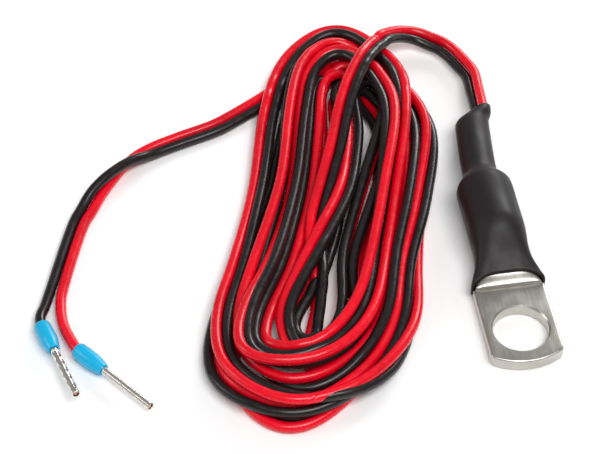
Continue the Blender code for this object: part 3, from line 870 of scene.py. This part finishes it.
def palm_outline():
    """The palm from above: X, Y and the angle of the way out, round straight sides, rounded corners and a tip
    on a large arc.
    """
    arc_y = TIP_Y + TIP_ARC_RADIUS
    corner_x = PALM_HALF_WIDTH - PALM_CORNER_RADIUS
    reach = TIP_ARC_RADIUS - PALM_CORNER_RADIUS
    corner_y = arc_y - math.sqrt(reach**2 - corner_x**2)
    meet = math.atan2(corner_y - arc_y, corner_x)
    points = [(PALM_HALF_WIDTH, y, 0.0) for y in np.linspace(PALM_REAR_Y, corner_y, 8)[:-1]]
    for angle in np.linspace(0.0, meet, 12):
        x = corner_x + PALM_CORNER_RADIUS * math.cos(angle)
        points.append((x, corner_y + PALM_CORNER_RADIUS * math.sin(angle), angle))
    for angle in np.linspace(meet, -math.pi / 2, 20)[1:]:
        points.append((TIP_ARC_RADIUS * math.cos(angle), arc_y + TIP_ARC_RADIUS * math.sin(angle), angle))
    left = [(-x, y, -math.pi - angle) for x, y, angle in reversed(points[:-1])]
    return points + left


def make_palm(finish):
    """The palm as a stack of outlines, drawn in towards its faces to round its edges."""
    outline = palm_outline()
    steps = 5
    lower = []
    for i in range(steps + 1):
        angle = math.pi / 2 * i / steps
        lower.append((PALM_EDGE_RADIUS * (1 - math.sin(angle)), PALM_EDGE_RADIUS * (1 - math.cos(angle))))
    upper = [(inset, PALM_THICKNESS - z) for inset, z in reversed(lower)]
    rings = []
    for inset, z in lower + upper:
        ring = []
        for x, y, angle in outline:
            ring.append(((x - inset * math.cos(angle)) * MM, (y - inset * math.sin(angle)) * MM, z * MM))
        rings.append(ring)
    return skin("lug", rings, finish, sharp=50.0)


def neck_tool(finish):
    angles = ring_angles(LUG_SIDES)
    rings = []
    for y, half_width, low, high, squareness in catmull_rom(LUG_SECTIONS, 4):
        size = (half_width, (high - low) / 2, squareness, 0.0)
        rings.append(section_ring(y, 0.0, (low + high) / 2, *size, angles) * MM)
    return skin("neck_tool", rings, finish)


def bore_tool(finish):
    profile = [
        (BORE_BOTTOM_Y, BARREL_BORE_RADIUS),
        (BARREL_MOUTH_Y - BARREL_LEAD_IN, BARREL_BORE_RADIUS),
        (BARREL_MOUTH_Y + BARREL_LEAD_IN, BARREL_BORE_RADIUS + 2 * BARREL_LEAD_IN),
    ]
    rings = turned_rings((0.0, 0.0, BARREL_AXIS_Z * MM), (0, 1, 0), profile, LUG_SIDES)
    return skin("bore_tool", rings, finish)


def hole_tool(finish):
    """Cuts the palm's hole and rounds its rims."""
    lower = [(-HOLE_TOOL_PAST, HOLE_RADIUS + HOLE_FLARE + HOLE_TOOL_PAST)]
    for angle in np.linspace(0, math.pi / 2, 6):
        widening = HOLE_FLARE * (1 - math.cos(math.pi / 2 - angle))
        lower.append((HOLE_FLARE * math.sin(angle), HOLE_RADIUS + widening))
    upper = [(PALM_THICKNESS - z, radius) for z, radius in reversed(lower)]
    centre_y = TIP_Y + HOLE_TO_TIP
    rings = []
    for z, radius in lower + upper:
        ring = []
        for angle in ring_angles(LUG_SIDES):
            ring.append((radius * math.cos(angle) * MM, (centre_y + radius * math.sin(angle)) * MM, z * MM))
        rings.append(ring)
    return skin("hole_tool", rings, finish)


def make_lug(finish):
    lug = make_palm(finish)
    neck, bore, hole = neck_tool(finish), bore_tool(finish), hole_tool(finish)
    boolean(lug, neck, "UNION")
    boolean(lug, bore, "DIFFERENCE")
    boolean(lug, hole, "DIFFERENCE")
    keep_result(lug, [neck, bore, hole])
    lug.data.shade_smooth()
    lug.data.set_sharp_from_angle(angle=math.radians(32))
    return lug


# Sleeve


def make_sleeve(finish):
    angles = ring_angles(SLEEVE_SIDES)
    rows = catmull_rom(SLEEVE_SECTIONS, 6)
    stations = np.concatenate([np.linspace(*run) for run in SLEEVE_STATIONS])

    def ring(y, inset):
        """The sleeve's section at Y, this part of its wall in from its outside."""
        bow = SLEEVE_FRONT_ARC * np.sin(angles) ** 2
        fade = max(0.0, (SLEEVE_ARC_FADE_Y - y) / (SLEEVE_ARC_FADE_Y - SLEEVE_FRONT_Y))
        at = y + bow * fade
        section = [np.interp(at, rows[:, 0], column) for column in rows[:, 1:].T]
        x, z, half_width, half_height, squareness, roll = section
        depth = inset * np.interp(y, SLEEVE_THINS_Y, (SLEEVE_WALL, SLEEVE_END_WALL))
        return section_ring(at, x, z, half_width - depth, half_height - depth, squareness, roll, angles)

    lip = [(SLEEVE_FRONT_Y, 0.5), (SLEEVE_FRONT_Y, 0.15)]
    outside = [ring(y, inset) for y, inset in lip] + [ring(y, 0.0) for y in stations[1:-1]]
    end = [ring(SLEEVE_END_Y, inset) for inset in (0.15, 0.5, 1.0)]
    inside = [ring(y, 1.0) for y in stations[::-4]][1:]
    rings = np.array(outside + end + inside + [ring(SLEEVE_FRONT_Y, 1.0)]) * MM
    return skin("sleeve", rings, finish, closed=True, sharp=60.0)


# Ferrules


def make_ferrule(colour_name, ferrule, crimped, plastic, tin, copper):
    back, along = np.array(ferrule[0]), unit(np.array(ferrule[1], float))
    profile = catmull_rom(COLLAR_PROFILE, 4).tolist() + COLLAR_BORE
    rings = turned_rings(back, along, profile, COLLAR_SIDES)
    collar = skin(f"collar_{colour_name}", rings, plastic, closed=True)
    low, high = FERRULE_TUBE_Y
    run = np.linspace(low, high - FERRULE_TUBE_EDGE, FERRULE_TUBE_RINGS)
    outside = [(y, FERRULE_TUBE_RADIUS) for y in run] + [(high, FERRULE_TUBE_RADIUS - FERRULE_TUBE_EDGE)]
    inside = [(high, FERRULE_TUBE_BORE), (low, FERRULE_TUBE_BORE)]
    rings = turned_rings(back, along, outside + inside, FERRULE_TUBE_SIDES)
    if crimped:
        rings = press_crimps(rings, back, along)
    tube = skin(f"ferrule_{colour_name}", rings, tin, closed=True)
    tips = make_strands(f"strand_tips_{colour_name}", back, along, copper)
    return collar, tube, tips


def press_crimps(rings, back, along):
    """Flattens the tube's upper side, presses a row of dents into it, and flattens its underside a little."""
    offset = rings - back
    run = (offset @ along) / MM
    up = np.array((0.0, 0.0, 1.0))
    up = unit(up - along * up.dot(along))
    height = (offset @ up) / MM
    (first, last), (fade_in, fade_out) = CRIMPED_Y, CRIMPED_FADES
    pressed = np.clip((run - first) / fade_in, 0, 1) * np.clip((last - run) / fade_out, 0, 1)
    phase = (run - CRIMP_FIRST) / CRIMP_PITCH
    nearest = np.clip(np.round(phase), 0, CRIMP_COUNT - 1)
    dent = np.clip(CRIMP_REACH - np.abs(phase - nearest) * CRIMP_PITCH / CRIMP_SLOPE, 0, 1)
    top = FERRULE_TUBE_RADIUS * CRIMPED_TOP - CRIMP_DEPTH * dent
    lowered = height + (np.minimum(height, top) - height) * pressed
    shaped = np.maximum(lowered, -FERRULE_TUBE_RADIUS * (1 - CRIMPED_LIFT * pressed))
    return rings + up * ((shaped - height) * MM)[..., None]


def make_strands(name, back, along, finish):
    """A bundle of fine wires that shows in the ferrule's open end: one in the middle and a round about it."""
    side = unit(np.cross(along, (0, 0, 1)))
    up = np.cross(side, along)
    angles = ring_angles(STRAND_SIDES)[:, None]
    section = (side * np.cos(angles) + up * np.sin(angles)) * STRAND_RADIUS * MM
    low, high = STRANDS_Y
    vertices, faces = [], []
    for count, reach in STRAND_ROUNDS:
        for k in range(count):
            first = len(vertices)
            for y in np.linspace(low, high, STRAND_RINGS):
                turn = 2 * math.pi * k / count + STRAND_TWIST * (y - low)
                centre = back + (along * y + (side * math.cos(turn) + up * math.sin(turn)) * reach) * MM
                vertices += (centre + section).tolist()
            for i in range(STRAND_RINGS - 1):
                row = first + i * STRAND_SIDES
                for j in range(STRAND_SIDES):
                    n = (j + 1) % STRAND_SIDES
                    faces.append((row + j, row + n, row + n + STRAND_SIDES, row + j + STRAND_SIDES))
            faces.append(tuple(range(first + STRAND_SIDES - 1, first - 1, -1)))
            faces.append(tuple(range(len(vertices) - STRAND_SIDES, len(vertices))))
    made = add_mesh(name, vertices, faces, finish)
    face_outwards(made.data)
    return made


def finish_piece(piece, slot, *nodes):
    """Fixes a piece to the body, in place of its CAD nodes. The slot argument is not used."""
    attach(piece, BODY)
    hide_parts(*nodes)


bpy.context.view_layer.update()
make_camera()
make_studio()

finishes = {
    "cord_red": red_pvc(),
    "cord_black": black_pvc(),
    "heat_shrink": heat_shrink(),
    "tin_plate": tin_plate(),
    "copper": bare_copper(),
    "solder": soft_solder(),
    "ferrule_blue": collar_plastic(),
    "sensor_case": moulded_case(),
    "potting_resin": potting_resin(),
}
bright = bright_tin()

paths = cord_paths()
ends = {"red": (RED_END_ROUTE, RED_FERRULE), "black": (BLACK_END_ROUTE, BLACK_FERRULE)}
whole = {name: with_end(path, *ends[name]) for name, path in zip(ends, paths)}
for name, other in (("red", "black"), ("black", "red")):
    core, line = make_core(f"cord_{name}", whole[name], whole[other], finishes[f"cord_{name}"])
    finish_piece(core, f"cord_{name}", f"cable_{name}_lead", f"cable_{name}_tail", "cable_hank")
    metals = (bright, finishes["copper"])
    pieces = make_ferrule(name, ends[name][1], name == "black", finishes["ferrule_blue"], *metals)
    nodes = (f"ferrule_collar_{name}", f"ferrule_tube_{name}", f"strands_{name}")
    for piece, slot, node in zip(pieces, ("ferrule_blue", "tin_plate", "copper"), nodes):
        finish_piece(piece, slot, node)

finish_piece(make_lug(finishes["tin_plate"]), "tin_plate", "ring_lug")
finish_piece(make_sleeve(finishes["heat_shrink"]), "heat_shrink", "outer_sleeve")

# CAD nodes that stay in the model as they are, with their finish
KEPT_NODES = {
    "inner_sleeve": "heat_shrink",
    "joint_sleeve_red": "heat_shrink",
    "joint_sleeve_black": "heat_shrink",
    "core_red_end": "cord_red",
    "core_black_end": "cord_black",
    "conductor_red_head": "copper",
    "conductor_black_head": "copper",
    "solder_joint_red": "solder",
    "solder_joint_black": "solder",
    "sensor_lead_positive": "tin_plate",
    "sensor_lead_negative": "tin_plate",
    "sensor_lead_trimmed": "tin_plate",
    "sensor_chip": "sensor_case",
    "thermal_potting": "potting_resin",
}
for node, finish_name in KEPT_NODES.items():
    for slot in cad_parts[node].material_slots:
        slot.material = finishes[finish_name]
